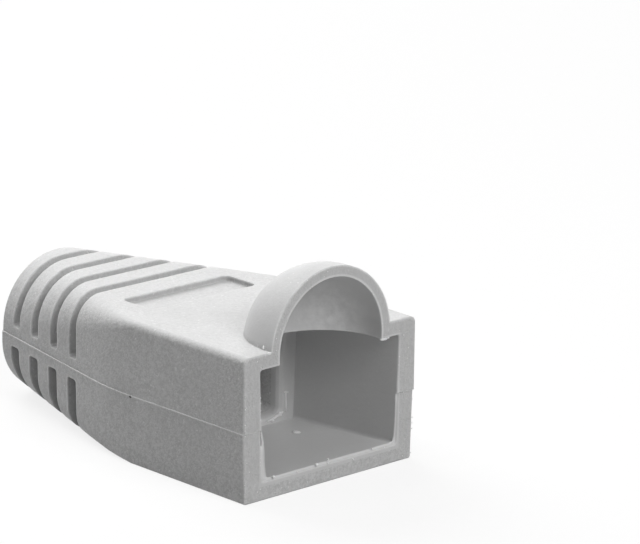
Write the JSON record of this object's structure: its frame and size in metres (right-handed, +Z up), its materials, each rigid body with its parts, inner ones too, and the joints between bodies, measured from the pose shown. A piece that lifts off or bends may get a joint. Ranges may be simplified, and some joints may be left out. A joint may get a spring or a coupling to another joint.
{
  "type": "rj45 strain relief boot",
  "caption": "Soft one-piece strain relief boot: a plug cavity with a latch dome over its mouth, and a slotted flexible tail round the cable bore.",
  "frame": {"origin": "centre of the bounding box at the flat underside", "axes": "+Z up from the flat underside to the latch dome, +Y along the cable from the plug mouth to the ringed cable end, +X across the boot"},
  "size_m": [0.0148, 0.0274, 0.014],
  "materials": {
    "boot": "soft grey moulded PVC, matte with a fine grain"
  },
  "bodies": {
    "root": {"boot": "boot"}
  },
  "joints": []
}
